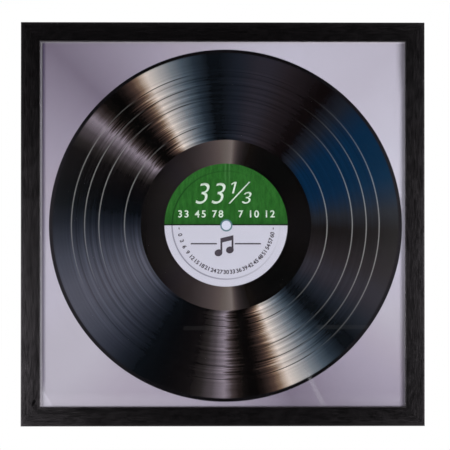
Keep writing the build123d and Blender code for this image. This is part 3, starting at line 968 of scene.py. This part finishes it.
# Wall bumpers: moulded rubber studs, stuck on near the rails' ends to keep the frame off the wall.
rubber, tree, surface = new_finish("black rubber", Specular_IOR_Level=0.35)
place = millimetres(tree)
patches, specks, scratches = effect(tree, handling, place, 2.5)
bloom = blend(tree, patches, linear(30, 30, 31), linear(46, 45, 45))
bloom = blend(tree, maths(tree, "MULTIPLY", specks, 0.5), bloom, linear(120, 116, 108))
feed(tree, surface.inputs["Base Color"], bloom)
feed(tree, surface.inputs["Roughness"], fade(tree, patches, 0.0, 1.0, 0.58, 0.8))
roughen(tree, surface, cloud(tree, place, 4.0, 3.0), 0.00004, 0.4)
for side in ("left", "right"):
    for end in ("upper", "lower"):
        dress(f"wall_bumper_{side}_{end}", rubber)

# The studio: a pale floor below the hanging frame, two soft boxes in front, left and right, and two
# larger ones behind for the back.
floor_drop = 0.45
lamp_fade = 0.2  # the share of a lamp's width in which it fades out
floor_mesh = bmesh.new()
bmesh.ops.create_grid(floor_mesh, x_segments=1, y_segments=1, size=2)
bmesh.ops.translate(floor_mesh, verts=floor_mesh.verts, vec=(0, 0, -floor_drop))
pale_floor, tree, surface = new_finish(
    "pale floor", Base_Color=(0.82, 0.82, 0.82, 1), Roughness=0.9, Specular_IOR_Level=0.1
)
place = shader(tree, "TexCoord").outputs["Object"]
away = shader(tree, "VectorMath", place, (0, 0, -floor_drop), operation="DISTANCE").outputs["Value"]
gone = fade(tree, away, 0.5, 1.8)
nothing = shader(tree, "BsdfTransparent").outputs[0]
stage = shader(tree, "MixShader", gone, surface.outputs[0], nothing).outputs[0]
feed(tree, tree.nodes["Material Output"].inputs["Surface"], stage)
floor = keep(floor_mesh, "floor", [pale_floor])


def soft_box(name, spot, size, power):
    """A rectangular lamp that faces the middle of the frame and fades out towards its sides."""
    lamp = bpy.data.lights.new(name, "AREA")
    lamp.use_nodes = True
    tree = lamp.node_tree
    on_lamp = shader(tree, "NewGeometry").outputs["Parametric"]
    spread = None
    for share in shader(tree, "SeparateXYZ", on_lamp).outputs[:2]:
        from_side = maths(tree, "MINIMUM", share, maths(tree, "SUBTRACT", 1.0, share))
        level = fade(tree, from_side, 0.0, lamp_fade, 0.0, 1.0, "SMOOTHSTEP")
        spread = level if spread is None else maths(tree, "MULTIPLY", spread, level)
    feed(tree, tree.nodes["Emission"].inputs["Strength"], spread)
    lamp.shape = "RECTANGLE"
    lamp.size, lamp.size_y = size
    lamp.energy = power
    made = bpy.data.objects.new(name, lamp)
    bpy.context.scene.collection.objects.link(made)
    made.location = spot
    facing = Vector((0, 0, middle_z)) - made.location
    made.rotation_euler = facing.to_track_quat("-Z", "Y").to_euler()


def spot_at(angle, distance, height):
    """A place round the frame: 0 is straight in front and the angle grows to the right."""
    turn = math.radians(angle)
    return Vector((distance * math.sin(turn), -distance * math.cos(turn), height))


soft_box("right_box", spot_at(32.0, 1.6, 0.074), (0.75, 0.69), 23.5)
soft_box("left_box", spot_at(-29, 1.6, -0.05), (0.88, 0.68), 15.9)
soft_box("back_right_box", spot_at(140, 1.5, 0.8), (1.8, 1.5), 20)
soft_box("back_left_box", spot_at(215, 1.5, 0.6), (1.8, 1.5), 17)

# The room: white where the camera looks past the frame, and dim as a light. In reflections it's pale
# behind the frame and dark in front, so that the glazing stays clear.
ambient = 0.14
world = bpy.data.worlds.new("studio")
bpy.context.scene.world = world
world.use_nodes = True
tree = world.node_tree
direction = shader(tree, "TexCoord").outputs["Generated"]
behind = shader(tree, "SeparateXYZ", direction).outputs[1]
room = fade(tree, behind, -0.5, 0.5, 0.004, 1.0)
light = shader(tree, "LightPath").outputs
undiffused = maths(tree, "LESS_THAN", light["Diffuse Depth"], 0.5)
unmirrored = maths(tree, "LESS_THAN", light["Glossy Depth"], 0.5)
through_glass = maths(tree, "MULTIPLY", light["Is Transmission Ray"], undiffused)
mirrored = maths(tree, "MULTIPLY", through_glass, maths(tree, "SUBTRACT", 1.0, unmirrored))
mirrored = maths(tree, "MAXIMUM", light["Is Glossy Ray"], mirrored)
through_glass = maths(tree, "MULTIPLY", through_glass, unmirrored)
backdrop = maths(tree, "MAXIMUM", light["Is Camera Ray"], through_glass)
level = blend(tree, mirrored, (ambient, ambient, ambient, 1), grey(tree, room))
level = blend(tree, backdrop, level, (1, 1, 1, 1))
feed(tree, tree.nodes["Background"].inputs["Color"], level)

# The camera: square on to the picture, from a little to the left of its middle and a little below
camera_distance = 1.5
camera_yaw, camera_pitch = math.radians(0.705), math.radians(0.342)
aim = Vector((0.00168, front_y, middle_z - 0.0007))
forward = Vector((math.sin(camera_yaw), math.cos(camera_yaw), math.tan(camera_pitch))).normalized()
lens = bpy.data.cameras.new("camera")
lens.lens = 144.3
camera = bpy.data.objects.new("camera", lens)
camera.location = aim - camera_distance * forward
camera.rotation_euler = forward.to_track_quat("-Z", "Y").to_euler()
bpy.context.scene.collection.objects.link(camera)
bpy.context.scene.camera = camera
bpy.context.scene.view_settings.view_transform = "Standard"
